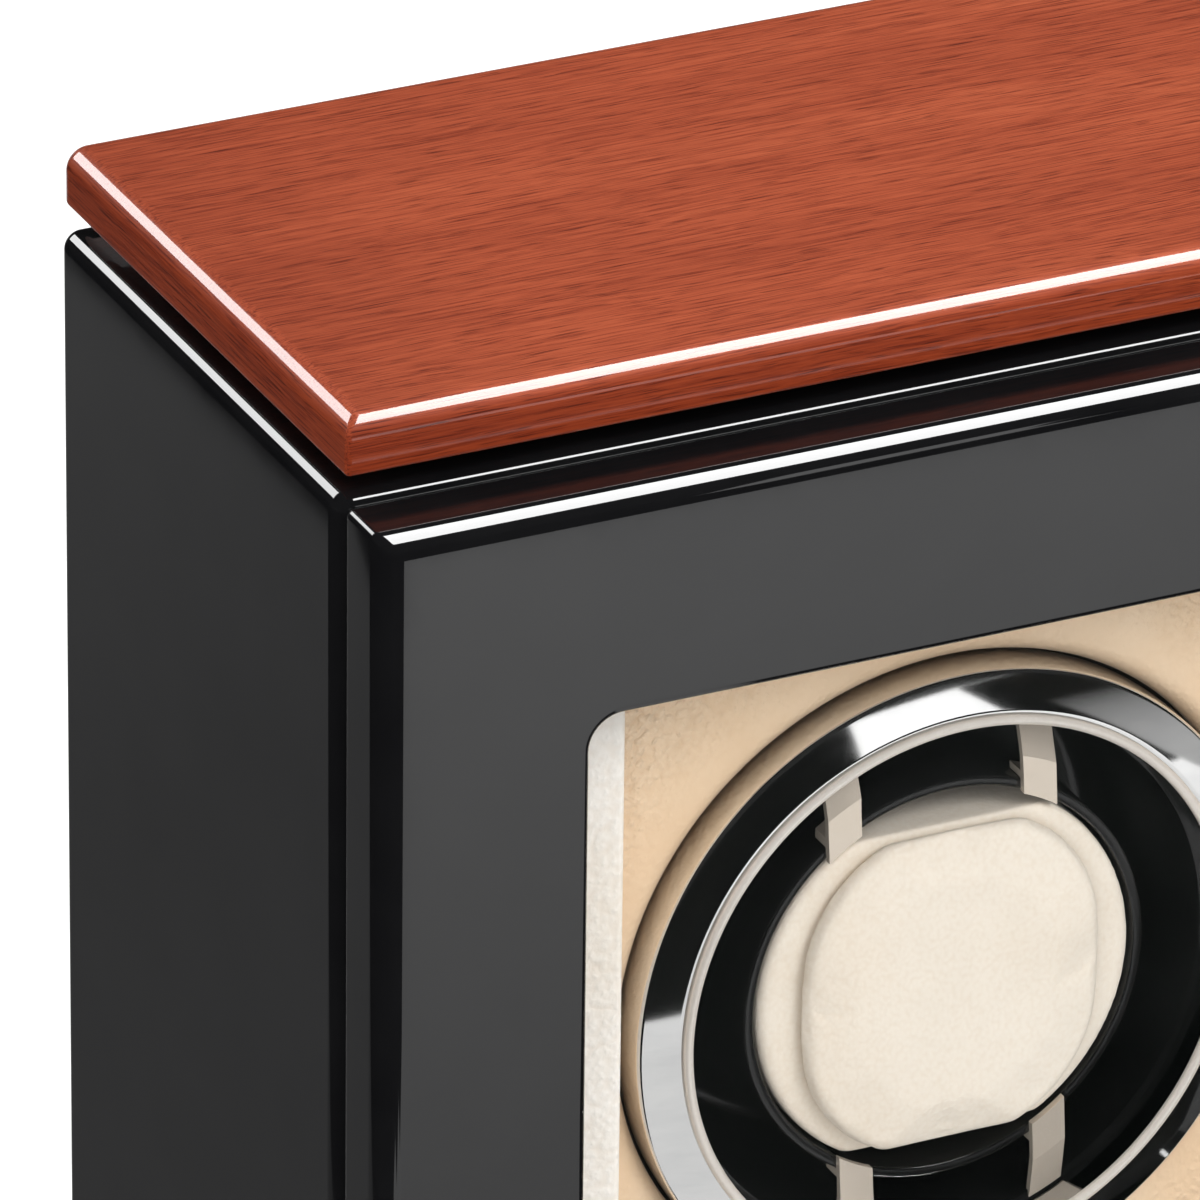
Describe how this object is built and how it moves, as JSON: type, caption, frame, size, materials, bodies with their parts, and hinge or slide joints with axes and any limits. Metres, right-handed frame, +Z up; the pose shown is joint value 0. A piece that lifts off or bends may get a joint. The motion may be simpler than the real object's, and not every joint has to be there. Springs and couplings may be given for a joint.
{
  "type": "watch winder box",
  "caption": "Upright watch winder box with a wood top, lacquered case, glazed hinged door and a belt-driven rotor that turns a padded watch cushion in a chrome bezel.",
  "frame": {"origin": "middle of the footprint at floor level", "axes": "+X right as the door is faced, +Y towards the back, +Z up"},
  "size_m": [0.239, 0.1334, 0.2587],
  "materials": {
    "lacquer": "black piano lacquer, polished",
    "mahogany": "reddish mahogany under clear gloss lacquer",
    "cream_leather": "cream leatherette, fine pebble grain",
    "cushion_leather": "cream leatherette over foam",
    "chrome": "mirror chrome plating",
    "bowl_plastic": "glossy black moulding",
    "glass": "clear float glass",
    "rubber": "matte black rubber",
    "steel": "plain zinc plated steel",
    "hinge_metal": "satin nickel plate",
    "bush_brass": "sintered bronze",
    "plain_board": "plain fibreboard",
    "control_plastic": "fine textured black",
    "circuit": "green solder mask"
  },
  "bodies": {
    "case": {"board_standoffs": "steel", "carcass_bottom": "lacquer", "carcass_left": "lacquer", "carcass_right": "lacquer", "carcass_top": "lacquer", "case_magnet": "hinge_metal", "cleat_left": "plain_board", "cleat_right": "plain_board", "control_board": "circuit", "drive_belt": "rubber", "drive_board": "plain_board", "drive_board_screws": "steel", "foot_back_left": "rubber", "foot_back_right": "rubber", "foot_front_left": "rubber", "foot_front_right": "rubber", "hinge_lower_case_leaf": "hinge_metal", "hinge_lower_pin": "hinge_metal", "hinge_screws_case": "hinge_metal", "hinge_upper_case_leaf": "hinge_metal", "hinge_upper_pin": "hinge_metal", "liner_frame": "cream_leather", "motor": "steel", "motor_screws": "steel", "power_inlet": "control_plastic", "program_selector": "control_plastic", "rear_cover": "control_plastic", "rear_cover_screws": "steel", "rotor_panel": "cream_leather", "shaft_bush": "bush_brass", "switch_housing": "control_plastic", "top_screws": "steel", "top_spacer": "lacquer", "wood_top": "mahogany"},
    "door": {"door_frame": "lacquer", "door_glass": "glass", "glass_retainer": "lacquer", "door_magnet": "hinge_metal", "door_bumpers": "rubber", "hinge_upper_door_leaf": "hinge_metal", "hinge_lower_door_leaf": "hinge_metal", "hinge_screws_door": "hinge_metal"},
    "rotor": {"bezel": "chrome", "rotor_bowl": "bowl_plastic", "inner_cup": "bowl_plastic", "cushion_clip_1": "chrome", "cushion_clip_2": "chrome", "cushion_clip_3": "chrome", "cushion_clip_4": "chrome", "rotor_shaft": "steel", "rotor_pulley": "control_plastic", "shaft_clip": "steel"},
    "cushion_unit": {"cushion_base": "cushion_leather", "cushion": "cushion_leather"},
    "motor_spindle": {"motor_shaft": "steel", "motor_pulley": "control_plastic"},
    "program_dial": {"program_knob": "control_plastic"},
    "power_switch": {"power_rocker": "control_plastic"}
  },
  "joints": [
    {"name": "door_swing", "type": "hinge", "parent": "case", "child": "door", "pos_m": [0.1186, -0.051, 0.124], "axis": [0, 0, 1], "range_deg": [0, 110]},
    {"name": "rotor_spin", "type": "hinge", "parent": "case", "child": "rotor", "pos_m": [0, 0, 0.124], "axis": [0, 1, 0], "continuous": true},
    {"name": "motor_spin", "type": "hinge", "parent": "case", "child": "motor_spindle", "pos_m": [0, 0.01325, 0.067], "axis": [0, 1, 0], "continuous": true},
    {"name": "cushion_pull", "type": "slide", "parent": "rotor", "child": "cushion_unit", "axis": [0, -1, 0], "range_m": [0, 0.01]},
    {"name": "program_turn", "type": "hinge", "parent": "case", "child": "program_dial", "pos_m": [0.042, 0.05675, 0.038], "axis": [0, 1, 0], "range_deg": [-135, 135]},
    {"name": "power_rock", "type": "hinge", "parent": "case", "child": "power_switch", "pos_m": [0, 0.05195, 0.038], "axis": [0, 0, 1], "range_deg": [0, 12]}
  ],
  "couplings": [
    {"joint": "motor_spin", "follows": "rotor_spin", "ratio": 6}
  ]
}
